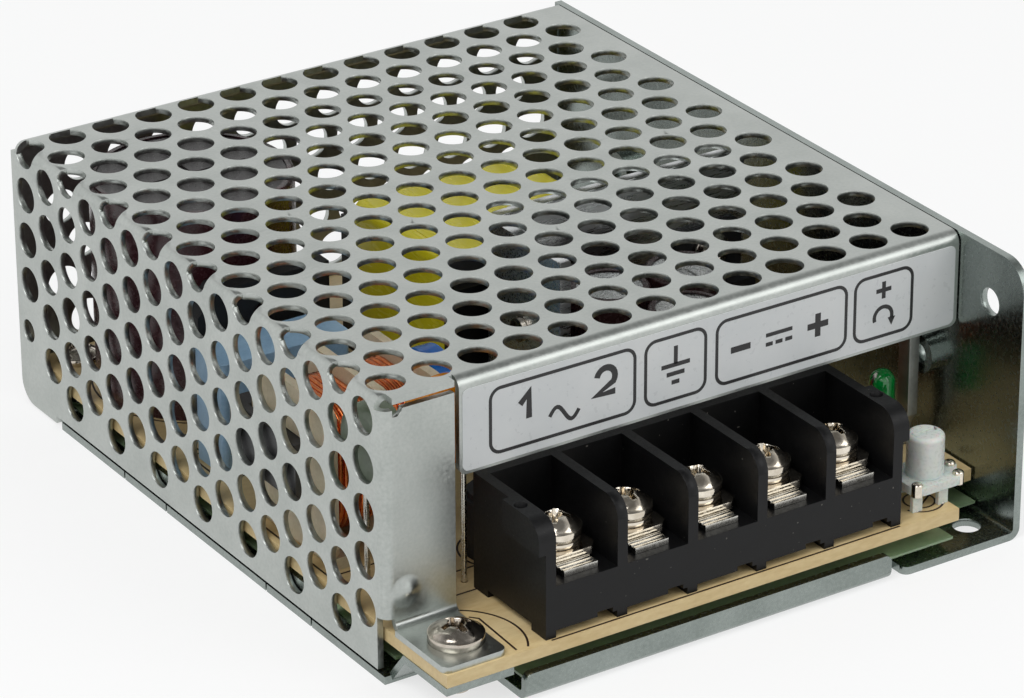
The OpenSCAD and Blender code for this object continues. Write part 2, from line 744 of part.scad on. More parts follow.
module choke_bobbin() {
    hole = 7.9;
    color([0.87, 0.82, 0.72]) translate([choke_at[0], choke_at[1], choke_z]) difference() {
        union() {
            for (x = [-choke_w / 2, -0.6, choke_w / 2 - 1.2]) translate([x, -0.6, 0])
                choke_section(choke_d - 1.6, choke_h, 2, 1.2);
            translate([-choke_w / 2, 0, 0]) choke_section(hole + 1.4, hole + 1.4, 1, choke_w);
            for (s = [-1, 1]) translate([s * 6 - 1.2, -choke_d / 2 + 0.5, -choke_h / 2 - 1])
                cube([2.4, choke_d - 2, 1.5]);
        }
        translate([-choke_w, -hole / 2, -hole / 2]) cube([2 * choke_w, hole, hole]);
    }
    color([0.87, 0.82, 0.72]) leads(choke_leads, board_top + 0.4);
}

module choke_windings() {
    gap = 0.1;
    w = choke_w / 2 - 1.2 - 0.6 - 2 * gap;
    color([0.72, 0.36, 0.13]) for (x = [-choke_w / 2 + 1.2 + gap, 0.6 + gap])
        translate([choke_at[0] + x, choke_at[1], choke_z]) side_sheet(0, w) difference() {
            round_rect([-choke_d / 2 + 1.4, -choke_h / 2 + 1.6], [choke_d / 2 - 2.6, choke_h / 2 - 1.6], 5);
            round_rect([-4.75, -4.75], [4.75, 4.75], 1.1);
        }
}

module line_capacitor() {
    color([0.62, 0.74, 0.84]) {
        translate([line_cap_at[0], line_cap_at[1], board_top]) linear_extrude(line_cap_size[2])
            round_rect([0, 0], [line_cap_size[0], line_cap_size[1]], 0.8);
        leads(line_cap_leads, board_top + 0.2);
    }
}

module bridge_rectifier() {
    z = board_top + 2.4;
    color([0.12, 0.12, 0.13]) {
        difference() {
            front_sheet(bridge_at[1], bridge_t) polygon([[bridge_at[0], z], [bridge_at[0] + bridge_w, z],
                [bridge_at[0] + bridge_w, z + 18], [bridge_at[0] + 3, z + 18], [bridge_at[0], z + 15]]);
            translate([bridge_at[0] + bridge_w / 2, bridge_at[1] - 1, z + 13.4]) rotate([-90, 0, 0])
                cylinder(h = bridge_t + 2, r = 1.6);
        }
        leads(bridge_leads, z + 0.3);
    }
}

// Upright electrolytic capacitor in two pieces: the can, with its scored vent, and its sleeve
module electrolytic_can(d, h, score) {
    difference() {
        union() {
            translate([0, 0, 0.5]) cylinder(h = h - 0.7, r = d / 2 - 0.35);
            translate([0, 0, 0.1]) cylinder(h = 1, r = d / 2 - 1);
        }
        for (a = [0, 90]) rotate(a) translate([-score, -0.15, h - 0.45]) cube([2 * score, 0.3, 1]);
    }
}

module electrolytic_sleeve(d, h) {
    difference() {
        rotate_extrude() union() {
            square([d / 2, h - 0.5]);
            square([d / 2 - 0.5, h]);
            translate([d / 2 - 0.5, h - 0.5]) circle(0.5);
        }
        translate([0, 0, 0.45]) cylinder(h = h - 0.6, r = d / 2 - 0.3);
        cylinder(h = 3 * h, r = d / 2 - 0.95, center = true);
    }
}

module bulk_can() {
    color([0.42, 0.42, 0.43]) {
        translate([bulk_at[0], bulk_at[1], board_top]) electrolytic_can(bulk_d, bulk_h, bulk_d * 0.3);
        leads(bulk_leads, board_top + 0.4);
    }
}

module bulk_sleeve() {
    color([0.24, 0.14, 0.16]) translate([bulk_at[0], bulk_at[1], board_top])
        electrolytic_sleeve(bulk_d, bulk_h);
}

// Disc part on two leads, standing edge up with its face along X (turn 0) or Y (turn 90)
module disc_part(at, z, r, t, turn, lead_places) {
    translate([at[0], at[1], z]) rotate([0, 0, turn]) rotate([0, 90, 0]) rotate_extrude() {
        translate([0, -t / 2]) square([r - t / 3, t]);
        translate([r - t / 3, 0]) intersection() {
            circle(t / 2);
            translate([0, -t / 2]) square([t / 3, t]);
        }
    }
    leads(lead_places, z);
}

module thermistor() {
    color([0.45, 0.5, 0.44])
        disc_part(thermistor_at, thermistor_z, thermistor_r, 3.8, 0, thermistor_leads);
}

module varistor() {
    color([0.88, 0.52, 0.08])
        disc_part(varistor_at, varistor_z, varistor_r, 3.6, 90, varistor_leads);
}

module fuse() {
    color([0.15, 0.15, 0.16]) {
        translate([fuse_at[0], fuse_at[1], board_top]) rotate_extrude() {
            square([4.2, 7.4]);
            square([3.6, 8]);
        }
        leads(fuse_leads, board_top + 0.3);
    }
}

module disc_capacitors() {
    color([0.06, 0.4, 0.72]) for (k = [0, 1]) {
        p = disc_places[k];
        disc_part([p[0], p[1]], p[2], p[3], 3.6, 0, [disc_leads[2 * k], disc_leads[2 * k + 1]]);
    }
}

// Transformer: a bobbin with pins, a core through it, and tape round both
module transformer_bobbin() {
    color([0.13, 0.13, 0.14]) {
        translate([transformer_at[0], transformer_at[1], board_top]) {
            for (y = [0, transformer_l - 3]) translate([0, y, 0])
                cube([transformer_w, 3, transformer_h - 3]);
            translate([0, 0, 0]) cube([transformer_w, transformer_l, 1.4]);
        }
        leads(transformer_leads, board_top + 0.3);
    }
}

module transformer_core() {
    color([0.2, 0.2, 0.21])
        translate([transformer_at[0] + 0.8, transformer_at[1] + 3.1, board_top + 2.2])
            cube([transformer_w - 1.6, transformer_l - 6.2, transformer_h - 3]);
}

module transformer_tape() {
    w = transformer_w;
    h = transformer_h - 1.5;
    color([0.87, 0.84, 0.1]) translate([transformer_at[0] + w / 2, 0, board_top + 1.5])
        front_sheet(transformer_at[1] + 3.1, transformer_l - 6.2) difference() {
            round_rect([-w / 2, 0], [w / 2, h], 1.6);
            rect([-w / 2 + 0.7, 0.6], [w / 2 - 0.7, h - 0.7]);
        }
}

// Heat spreader: one aluminium sheet with a folded leg, two feet and two screw holes
module heat_spreader() {
    r = 2;
    z0 = board_top + 1.5;
    color([0.75, 0.77, 0.79]) difference() {
        union() {
            translate([0, 0, z0]) linear_extrude(spreader_top - z0) {
                rect([spreader_left + r, spreader_y - spreader_t], [spreader_right, spreader_y]);
                rect([spreader_left, spreader_y - spreader_leg], [spreader_left + spreader_t, spreader_y - r]);
                translate([spreader_left + r, spreader_y - r]) intersection() {
                    difference() {
                        circle(r);
                        circle(r - spreader_t);
                    }
                    translate([-r, 0]) square(r);
                }
            }
            for (x = spreader_feet) translate([x - 1, spreader_y - spreader_t, board_lift - lead_tail])
                cube([2, spreader_t, z0 + 0.1 - board_lift + lead_tail]);
        }
        translate([spreader_left - 1, switch_at[1], device_z + 12.8]) rotate([0, 90, 0])
            cylinder(h = 4, r = 1.55);
        translate([rectifier_at[0], spreader_y + 1, device_z + 12.8]) rotate([90, 0, 0])
            cylinder(h = 4, r = 1.55);
    }
}
device_z = board_top + 3.6;

// Flat power device standing on its leads; its back lies on y = 0 and it faces -Y
module power_device() {
    difference() {
        union() {
            translate([-5, -1.3, 0]) cube([10, 1.3, 15.6]);
            translate([-5, -4.5, 0]) cube([10, 3.3, 9.2]);
        }
        translate([0, 1, 12.8]) rotate([90, 0, 0]) cylinder(h = 4, r = 1.7);
    }
}

module switch_transistor() {
    color([0.14, 0.14, 0.15]) {
        translate([switch_at[0], switch_at[1], device_z]) rotate(90) power_device();
        leads([for (k = [0 : 2]) device_leads[k]], device_z + 0.3);
    }
}

module output_rectifier() {
    color([0.14, 0.14, 0.15]) {
        translate([rectifier_at[0], rectifier_at[1], device_z]) power_device();
        leads([for (k = [3 : 5]) device_leads[k]], device_z + 0.3);
    }
}

module device_screws() {
    color([0.7, 0.69, 0.66]) {
        translate([switch_at[0] + 1.3, switch_at[1], device_z + 12.8]) rotate([0, 90, 0])
            pan_screw(2.6, 1.8, 1.5, 3.6);
        translate([rectifier_at[0], rectifier_at[1] - 1.3, device_z + 12.8]) rotate([90, 0, 0])
            pan_screw(2.6, 1.8, 1.5, 3.6);
    }
}

module output_can(k) {
    p = output_places[k - 1];
    color([0.8, 0.8, 0.79]) {
        translate([p[0], p[1], board_top]) electrolytic_can(output_d, output_h, output_d * 0.3);
        leads([for (s = [-1, 1]) p + [2.5 * s, 0]], board_top + 0.4);
    }
}

module output_sleeve(k) {
    p = output_places[k - 1];
    color([0.2, 0.12, 0.12]) translate([p[0], p[1], board_top]) electrolytic_sleeve(output_d, output_h);
}

// Drum-core output choke
module output_choke_core() {
    color([0.17, 0.17, 0.18]) {
        translate([output_choke_at[0], output_choke_at[1], board_top]) {
            cylinder(h = 1.6, r = 4.6);
            translate([0, 0, 9.4]) cylinder(h = 1.6, r = 4.6);
            cylinder(h = 11, r = 2.4);
        }
        leads(output_choke_leads, board_top + 0.3);
    }
}

module output_choke_winding() {
    color([0.7, 0.34, 0.13]) translate([output_choke_at[0], output_choke_at[1], board_top + 1.7])
        tube(7.6, 4.1, 2.45);
}

// Dual in-line package with its leads down both sides
module chip(at, w, l, places) {
    translate([at[0] - w / 2, at[1] - l / 2, board_top + 0.4]) cube([w, l, 3.3]);
    for (p = places) {
        d = [sign(p[0] - at[0]), sign(p[1] - at[1])];
        along_x = abs(p[0] - at[0]) > w / 2;
        translate([along_x ? min(p[0], at[0] + d[0] * w / 2) - (d[0] < 0 ? 0.2 : 0) : p[0] - 0.3,
            along_x ? p[1] - 0.3 : min(p[1], at[1] + d[1] * l / 2) - (d[1] < 0 ? 0.2 : 0), board_top + 1.5])
            cube([along_x ? abs(p[0] - at[0]) - w / 2 + 0.2 : 0.6,
                along_x ? 0.6 : abs(p[1] - at[1]) - l / 2 + 0.2, 0.4]);
    }
    leads(places, board_top + 1.7);
}

module optocoupler() {
    color([0.9, 0.9, 0.88]) chip(opto_at, 6.4, 4.6, opto_leads);
}

module control_chip() {
    color([0.12, 0.12, 0.13]) chip(chip_at, 9.8, 6.4, chip_leads);
}

module resistors() {
    color([0.72, 0.6, 0.42]) for (p = resistor_places) {
        translate([p[0] - 3.2, p[1], board_top + 1.5]) rotate([0, 90, 0]) cylinder(h = 6.4, r = 1.2);
        translate([p[0] - 5, p[1], board_top + 1.5]) rotate([0, 90, 0])
            cylinder(h = 10, r = lead_r, $fn = 16);
        leads([for (s = [-1, 1]) p + [5 * s, 0]], board_top + 1.5);
    }
}

chassis();
mesh_cover();
circuit_board();
insulating_film();
cover_screw();
board_screws();
terminal_housing();
terminal_plates();
clamp_plate(1);  // clamp_plate_1
clamp_plate(2);  // clamp_plate_2
clamp_plate(3);  // clamp_plate_3
clamp_plate(4);  // clamp_plate_4
clamp_plate(5);  // clamp_plate_5
lock_washer(1);  // lock_washer_1
lock_washer(2);  // lock_washer_2
lock_washer(3);  // lock_washer_3
lock_washer(4);  // lock_washer_4
lock_washer(5);  // lock_washer_5
terminal_screw(1);  // terminal_screw_1
terminal_screw(2);  // terminal_screw_2
terminal_screw(3);  // terminal_screw_3
terminal_screw(4);  // terminal_screw_4
terminal_screw(5);  // terminal_screw_5
adjuster_body();
adjuster_knob();
status_led();
earth_strap();
choke_core();
choke_bobbin();
choke_windings();
line_capacitor();
bridge_rectifier();
bulk_can();
bulk_sleeve();
thermistor();
varistor();
fuse();
disc_capacitors();
transformer_core();
transformer_bobbin();
transformer_tape();
heat_spreader();
switch_transistor();
output_rectifier();
device_screws();
output_can(1);  // output_can_1
output_can(2);  // output_can_2
output_can(3);  // output_can_3
output_sleeve(1);  // output_sleeve_1
output_sleeve(2);  // output_sleeve_2
output_sleeve(3);  // output_sleeve_3
output_choke_core();
output_choke_winding();
optocoupler();
control_chip();
resistors();
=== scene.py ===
import bmesh
import bpy
import math
from mathutils import Matrix, Vector


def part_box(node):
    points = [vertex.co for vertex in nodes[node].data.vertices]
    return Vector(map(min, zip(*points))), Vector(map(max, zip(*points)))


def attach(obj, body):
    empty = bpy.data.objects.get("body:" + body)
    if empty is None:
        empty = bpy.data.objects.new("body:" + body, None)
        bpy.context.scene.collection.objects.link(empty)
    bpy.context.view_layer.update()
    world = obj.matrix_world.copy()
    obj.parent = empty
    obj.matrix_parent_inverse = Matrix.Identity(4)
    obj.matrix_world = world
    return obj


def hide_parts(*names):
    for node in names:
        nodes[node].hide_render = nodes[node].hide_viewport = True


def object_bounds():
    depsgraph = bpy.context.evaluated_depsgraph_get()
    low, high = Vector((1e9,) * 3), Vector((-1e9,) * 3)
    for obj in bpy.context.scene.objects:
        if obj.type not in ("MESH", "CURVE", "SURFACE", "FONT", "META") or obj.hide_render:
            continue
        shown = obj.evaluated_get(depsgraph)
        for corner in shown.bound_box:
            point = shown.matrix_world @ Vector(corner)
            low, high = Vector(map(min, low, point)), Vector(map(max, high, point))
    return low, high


# Dresses the mesh case switching power supply: sheet metal, terminals, board and the parts inside.
# Lengths in the dictionaries are millimetres, colours are sRGB hex.

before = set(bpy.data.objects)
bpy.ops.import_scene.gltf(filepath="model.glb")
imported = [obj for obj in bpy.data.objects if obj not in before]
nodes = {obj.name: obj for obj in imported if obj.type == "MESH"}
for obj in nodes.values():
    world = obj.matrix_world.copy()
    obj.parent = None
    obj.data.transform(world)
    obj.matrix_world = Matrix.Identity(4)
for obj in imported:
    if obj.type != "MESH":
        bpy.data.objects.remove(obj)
cadLow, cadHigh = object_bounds()
scene = bpy.context.scene
mm = 0.001
print("frame loaded:", len(nodes), "nodes")


def linearColour(hexCode):
    channels = [int(hexCode[i:i + 2], 16) / 255 for i in (1, 3, 5)]
    return tuple(c / 12.92 if c <= 0.04045 else ((c + 0.055) / 1.055) ** 2.4 for c in channels) + (1.0,)


def addNode(tree, kind, settings=None, links=None):
    node = tree.nodes.new(kind)
    for key, value in (settings or {}).items():
        if isinstance(key, str) and key in node.bl_rna.properties:
            setattr(node, key, value)
        else:
            node.inputs[key].default_value = value
    for key, source in (links or {}).items():
        tree.links.new(source, node.inputs[key])
    return node


def perSize(size):
    return 1 / (size * mm)  # texture scale for a feature of that many millimetres


# Every finish has a slow drift between two tones, and a fine grain that moves tone, roughness and height
def makeMaterial(name, finish, surface=None):
    material = bpy.data.materials.new(name)
    material.use_nodes = True
    tree = material.node_tree
    tree.nodes.clear()
    place = addNode(tree, "ShaderNodeTexCoord").outputs["Object"]
    if "stretch" in finish:
        place = addNode(tree, "ShaderNodeMapping", {"Scale": finish["stretch"]}, {"Vector": place}).outputs[0]
    drift = addNode(tree, "ShaderNodeTexNoise", {"Scale": perSize(finish["drift"]), "Detail": 3.0},
                    {"Vector": place}).outputs["Fac"]
    grain = addNode(tree, "ShaderNodeTexNoise", {"Scale": perSize(finish["grain"]), "Detail": 2.0},
                    {"Vector": place}).outputs["Fac"]
    share = addNode(tree, "ShaderNodeMix", {0: finish.get("grainShare", 0.4)}, {2: drift, 3: grain}).outputs[0]
    spread = addNode(tree, "ShaderNodeMapRange", {"From Min": 0.35, "From Max": 0.65},
                     {"Value": share}).outputs[0]
    tone = addNode(tree, "ShaderNodeMix", {"data_type": "RGBA", 6: linearColour(finish["deep"]),
                                          7: linearColour(finish["colour"])}, {0: spread}).outputs[2]
    if "dust" in finish:
        speck = addNode(tree, "ShaderNodeTexNoise", {"Scale": perSize(finish["dust"]["size"]), "Detail": 0.0},
                        {"Vector": place}).outputs["Fac"]
        lying = addNode(tree, "ShaderNodeMapRange", {"From Min": finish["dust"]["start"],
                                                         "From Max": finish["dust"]["full"]},
                        {"Value": speck}).outputs[0]
        tone = addNode(tree, "ShaderNodeMix", {"data_type": "RGBA", 7: linearColour(finish["dust"]["colour"])},
                       {0: lying, 6: tone}).outputs[2]
    rough = addNode(tree, "ShaderNodeMapRange", {"From Min": 0.3, "From Max": 0.7, "To Min": finish["rough"][0],
                                                 "To Max": finish["rough"][1]}, {"Value": grain}).outputs[0]
    bump = addNode(tree, "ShaderNodeBump", {"Strength": 1.0, "Distance": finish["height"] * mm},
                   {"Height": grain}).outputs[0]
    shader = addNode(tree, "ShaderNodeBsdfPrincipled", surface,
                     {"Base Color": tone, "Roughness": rough, "Normal": bump})
    addNode(tree, "ShaderNodeOutputMaterial", links={"Surface": shader.outputs[0]})
    return material


# Galvanised steel cover, rolled and passivated: a satin grey with a fine mottle
galvanised = makeMaterial("galvanised cover steel", {
    "colour": "#b9bdb9", "deep": "#a6aba7", "drift": 6, "grain": 0.45, "grainShare": 0.5,
    "rough": (0.28, 0.4), "height": 0.005}, {"Metallic": 1.0})
# Galvanised steel chassis: a darker, smoother roll that mirrors the board and parts softly
chassisSteel = makeMaterial("galvanised chassis steel", {
    "colour": "#969e9a", "deep": "#838b87", "drift": 7, "grain": 0.5, "grainShare": 0.45,
    "rough": (0.19, 0.3), "height": 0.004}, {"Metallic": 1.0})
# Nickel-plated steel, pressed and turned: warm bright metal with small soft waves
nickel = makeMaterial("nickel plated steel", {
    "colour": "#ece4d6", "deep": "#cbc1b0", "drift": 2.5, "grain": 0.6, "rough": (0.07, 0.18),
    "height": 0.012}, {"Metallic": 1.0})
# Zinc-plated screw steel: bright, with a brownish depth where it mirrors the dark
zincScrew = makeMaterial("zinc plated screw steel", {
    "colour": "#d2cabf", "deep": "#aea598", "drift": 2, "grain": 0.6, "rough": (0.09, 0.2),
    "height": 0.008}, {"Metallic": 1.0})
# Tinned brass strip and tinned leads: softer and whiter than nickel
tinned = makeMaterial("tinned brass", {
    "colour": "#dcdad3", "deep": "#c3c0b7", "drift": 1.5, "grain": 0.5, "rough": (0.2, 0.32),
    "height": 0.006}, {"Metallic": 1.0})
# Dull tinned steel of the earth strap: a flat grey that mirrors nothing clearly
strapSteel = makeMaterial("dull tinned steel", {
    "colour": "#a3a49f", "deep": "#8e908b", "drift": 3, "grain": 0.6, "rough": (0.42, 0.52),
    "height": 0.004}, {"Metallic": 1.0})
# Mill-finish aluminium sheet: bright, with its rolling lines along X
millAluminium = makeMaterial("mill finish aluminium", {
    "colour": "#d6d8d8", "deep": "#bcbfc0", "drift": 3, "grain": 0.3, "stretch": (0.1, 1, 1),
    "rough": (0.22, 0.36), "height": 0.006}, {"Metallic": 1.0})
# Drawn can aluminium: the bright scored tops of the output capacitors
canAluminium = makeMaterial("drawn can aluminium", {
    "colour": "#d3d4d2", "deep": "#b7b9b9", "drift": 2, "grain": 0.4, "rough": (0.22, 0.36),
    "height": 0.006}, {"Metallic": 1.0})
# The big capacitor's top lies under a dark film, so it shows as a near-black disc with a soft shine
filmedCan = makeMaterial("film covered can top", {
    "colour": "#2d2125", "deep": "#22181c", "drift": 3, "grain": 0.4, "rough": (0.25, 0.38),
    "height": 0.006}, {"IOR": 1.53})
# Paper phenolic laminate, sheared: warm straw with a faint fibre
phenolicBoard = makeMaterial("paper phenolic laminate", {
    "colour": "#ead2a0", "deep": "#d6ba84", "drift": 5, "grain": 0.5, "stretch": (0.35, 1, 1),
    "rough": (0.32, 0.48), "height": 0.006}, {"IOR": 1.52})
# Clear polyester film: a faint green sheet that lets the steel below show
polyesterFilm = makeMaterial("clear polyester film", {
    "colour": "#cbe6bd", "deep": "#b7d6a8", "drift": 9, "grain": 1.2, "rough": (0.1, 0.2),
    "height": 0.004}, {"IOR": 1.57, "Transmission Weight": 0.62})
# Glass-filled black polyester, moulded: deep satin black with a fine peel and a little dust
blackMoulding = makeMaterial("moulded black polyester", {
    "colour": "#101011", "deep": "#0a0a0b", "drift": 4, "grain": 0.35, "rough": (0.34, 0.48),
    "height": 0.006, "dust": {"colour": "#6a6862", "size": 0.4, "start": 0.87, "full": 0.9}},
    {"IOR": 1.5, "Specular IOR Level": 0.24})
# Moulding epoxy of the semiconductors: nearly matt black with a fine grit
blackEpoxy = makeMaterial("black moulding epoxy", {
    "colour": "#1c1c1e", "deep": "#121214", "drift": 2, "grain": 0.2, "rough": (0.5, 0.65),
    "height": 0.008}, {"IOR": 1.54, "Specular IOR Level": 0.35})
# Cream nylon of the choke's bobbin: waxy, with soft edges in the light
creamNylon = makeMaterial("moulded cream nylon", {
    "colour": "#e6d8bc", "deep": "#d2c3a2", "drift": 3, "grain": 0.4, "rough": (0.35, 0.48),
    "height": 0.006}, {"IOR": 1.53, "Subsurface Weight": 0.1, "Subsurface Scale": 0.001})
# Natural acetal of the adjuster: milky and waxy, light goes a little way in
milkyAcetal = makeMaterial("natural acetal", {
    "colour": "#e6e9e4", "deep": "#d6dbd4", "drift": 2.5, "grain": 0.4, "rough": (0.24, 0.36),
    "height": 0.004}, {"IOR": 1.48, "Subsurface Weight": 0.3, "Subsurface Scale": 0.002})
# Tinted epoxy of the lamp: deep glossy green with sharp highlights
greenEpoxy = makeMaterial("tinted green epoxy", {
    "colour": "#05a243", "deep": "#047c33", "drift": 1.5, "grain": 0.6, "rough": (0.05, 0.1),
    "height": 0.002}, {"IOR": 1.54, "Transmission Weight": 0.12, "Coat Weight": 0.5})
# Sintered ferrite: dark grey, dull, slightly gritty
ferrite = makeMaterial("sintered ferrite", {
    "colour": "#343436", "deep": "#242426", "drift": 2, "grain": 0.25, "rough": (0.45, 0.65),
    "height": 0.012}, {"IOR": 1.8})
# Enamelled copper wire: bright orange copper under a thin amber varnish
enamelledCopper = makeMaterial("enamelled copper wire", {
    "colour": "#ea8848", "deep": "#c9622a", "drift": 1.2, "grain": 0.5, "rough": (0.16, 0.28),
    "height": 0.004}, {"Metallic": 1.0, "Coat Weight": 0.6, "Coat Roughness": 0.12})
# Pale blue moulded case of the line capacitor: smooth and lightly glossy
paleBlueCase = makeMaterial("moulded pale blue case", {
    "colour": "#a6c9e6", "deep": "#90b6d6", "drift": 3, "grain": 0.4, "rough": (0.28, 0.4),
    "height": 0.004}, {"IOR": 1.5})
# Shrink sleeves: dark tinted film drawn tight over the cans, with a soft gloss
maroonSleeve = makeMaterial("maroon shrink sleeve", {
    "colour": "#452429", "deep": "#341a1f", "drift": 4, "grain": 0.6, "rough": (0.2, 0.32),
    "height": 0.006}, {"IOR": 1.53})
brownSleeve = makeMaterial("brown shrink sleeve", {
    "colour": "#3c2424", "deep": "#2c1a1b", "drift": 3, "grain": 0.6, "rough": (0.2, 0.32),
    "height": 0.006}, {"IOR": 1.53})
# Dipped coats: glossy, thick and slightly lumpy
greyGreenDip = makeMaterial("grey green dipped coat", {
    "colour": "#7d8a78", "deep": "#68745f", "drift": 2, "grain": 0.8, "rough": (0.3, 0.45),
    "height": 0.03}, {"IOR": 1.52})
orangeDip = makeMaterial("orange dipped coat", {
    "colour": "#f0991a", "deep": "#dd7f0a", "drift": 2, "grain": 0.9, "rough": (0.16, 0.28),
    "height": 0.03}, {"IOR": 1.52})
blueDip = makeMaterial("blue dipped coat", {
    "colour": "#1672cf", "deep": "#0c5db8", "drift": 2, "grain": 0.9, "rough": (0.14, 0.26),
    "height": 0.03}, {"IOR": 1.52})
# Yellow polyester tape: glossy film over adhesive, with faint wrinkles along its wrap
yellowTape = makeMaterial("yellow polyester tape", {
    "colour": "#fbf03a", "deep": "#ebdd1c", "drift": 5, "grain": 1.1, "stretch": (1, 0.25, 1),
    "rough": (0.18, 0.32), "height": 0.03}, {"IOR": 1.57})
# White paper label on the transformer: matt and bare
paperLabel = makeMaterial("white paper label", {
    "colour": "#f0efe9", "deep": "#e4e2da", "drift": 4, "grain": 0.3, "rough": (0.5, 0.62),
    "height": 0.002}, {"IOR": 1.5})
# Beige lacquer of the resistors, and their painted rings
resistorCoat = makeMaterial("beige resistor coat", {
    "colour": "#cdb284", "deep": "#b89b6c", "drift": 1.2, "grain": 0.3, "rough": (0.35, 0.5),
    "height": 0.006}, {"IOR": 1.5})
resistorRing = makeMaterial("brown ring paint", {
    "colour": "#6a3218", "deep": "#552610", "drift": 1, "grain": 0.3, "rough": (0.35, 0.5),
    "height": 0.003}, {"IOR": 1.5})
# White moulding epoxy of the optocoupler: flat and matt
whiteEpoxy = makeMaterial("white moulding epoxy", {
    "colour": "#e6e6e2", "deep": "#d6d6d0", "drift": 2, "grain": 0.3, "rough": (0.4, 0.55),
    "height": 0.006}, {"IOR": 1.54})
# Silver-white polyester label: an even pale sheen, with the black ink printed on it
labelFilm = makeMaterial("silver white polyester label", {
    "colour": "#dfe1e1", "deep": "#d6d9da", "drift": 9, "grain": 0.8, "grainShare": 0.12,
    "rough": (0.27, 0.31), "height": 0.0005}, {"IOR": 1.57})
labelInk = makeMaterial("black label ink", {
    "colour": "#1c1b1c", "deep": "#141314", "drift": 3, "grain": 0.3, "rough": (0.3, 0.4),
    "height": 0.001}, {"IOR": 1.5})
# Dark brown component print on the board: thin and matt
boardInk = makeMaterial("brown component print", {
    "colour": "#36221a", "deep": "#281811", "drift": 2, "grain": 0.3, "rough": (0.45, 0.6),
    "height": 0.002}, {"IOR": 1.5})
print("materials made:", len(bpy.data.materials))


def makePiece(name, body, bm, materials, replaced=(), sharp=35):
    mesh = bpy.data.meshes.new(name)
    bmesh.ops.recalc_face_normals(bm, faces=bm.faces)
    bm.to_mesh(mesh)
    bm.free()
    mesh.shade_smooth()
    mesh.set_sharp_from_angle(angle=math.radians(sharp))
    piece = bpy.data.objects.new(name, mesh)
    scene.collection.objects.link(piece)
    for material in materials:
        mesh.materials.append(material)
    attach(piece, body)
    if replaced:
        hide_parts(*replaced)
    return piece


# Turns a profile of (radius, height) millimetres about the Z axis of place, a matrix in metres
def turnInto(bm, profile, place, segments=40):
    loops = []
    for radius, height in profile:
        angles = [2 * math.pi * k / segments for k in range(segments)] if radius > 0 else [0]
        loops.append([bm.verts.new(place @ (Vector((radius * math.cos(a), radius * math.sin(a), height)) * mm))
                      for a in angles])
    for one, two in zip(loops, loops[1:]):
        for k in range(segments):
            corners = [one[k % len(one)], one[(k + 1) % len(one)], two[(k + 1) % len(two)], two[k % len(two)]]
            corners = list(dict.fromkeys(corners))
            if len(corners) > 2:
                bm.faces.new(corners)


# Lays round wire side by side round a closed outline; place turns (u, v, along) into a point
def windInto(bm, outline, place, wire, turns, depth, steps=6):
    profile = [(depth, 0)]
    for turn in range(turns):
        for k in range(steps + 1 if turn == turns - 1 else steps):
            angle = math.pi * k / steps
            profile.append((wire / 2 * (1 - math.sin(angle)), wire * turn + wire / 2 * (1 - math.cos(angle))))
    profile.append((depth, wire * turns))
    rings = []
    for i, (u, v) in enumerate(outline):
        before, after = outline[i - 1], outline[(i + 1) % len(outline)]
        inward = Vector((before[1] - after[1], after[0] - before[0])).normalized()
        rings.append([bm.verts.new(place(u + inward.x * d, v + inward.y * d, along)) for d, along in profile])
    for one, two in zip(rings, rings[1:] + rings[:1]):
        for k in range(len(profile)):
            bm.faces.new((one[k - 1], one[k], two[k], two[k - 1]))


# A flat printed line with mitred corners; place turns (u, v) into a point
def strokeInto(bm, points, width, place, closed=False):
    count = len(points)
    edges = []
    for i, (u, v) in enumerate(points):
        before = points[i - 1] if closed or i > 0 else None
        after = points[(i + 1) % count] if closed or i < count - 1 else None
        inward = Vector((u - before[0], v - before[1])).normalized() if before else None
        onward = Vector((after[0] - u, after[1] - v)).normalized() if after else None
        along = ((inward or onward) + (onward or inward)).normalized()
        across = Vector((-along.y, along.x))
        square = Vector((-(onward or inward).y, (onward or inward).x))
        reach = width / 2 / max(0.5, across.dot(square))
        edges.append([bm.verts.new(place(u + s * across.x * reach, v + s * across.y * reach)) for s in (-1, 1)])
    pairs = list(zip(edges, edges[1:])) + ([(edges[-1], edges[0])] if closed else [])
    for one, two in pairs:
        bm.faces.new((one[0], one[1], two[1], two[0]))


def arcPoints(u, v, radius, start, end, steps=16):
    angles = [math.radians(start + (end - start) * k / steps) for k in range(steps + 1)]
    return [(u + radius * math.cos(a), v + radius * math.sin(a)) for a in angles]


def circlePoints(u, v, radius, steps=48):
    return arcPoints(u, v, radius, 0, 360, steps)[:-1]


def roundBox(left, bottom, right, top, radius, steps=8):
    return (arcPoints(right - radius, top - radius, radius, 0, 90, steps)
            + arcPoints(left + radius, top - radius, radius, 90, 180, steps)
            + arcPoints(left + radius, bottom + radius, radius, 180, 270, steps)
            + arcPoints(right - radius, bottom + radius, radius, 270, 360, steps))


# Gives flat faces a real thickness, so that film and ink are closed bodies
def thicken(bm, lift):
    made = bmesh.ops.extrude_face_region(bm, geom=list(bm.faces))
    for vert in (v for v in made["geom"] if isinstance(v, bmesh.types.BMVert)):
        vert.co += lift


def layFilm(name, outline, place, lift, material):
    bm = bmesh.new()
    bm.faces.new([bm.verts.new(place(u, v)) for u, v in outline])
    thicken(bm, lift)
    return makePiece(name, "case", bm, [material])


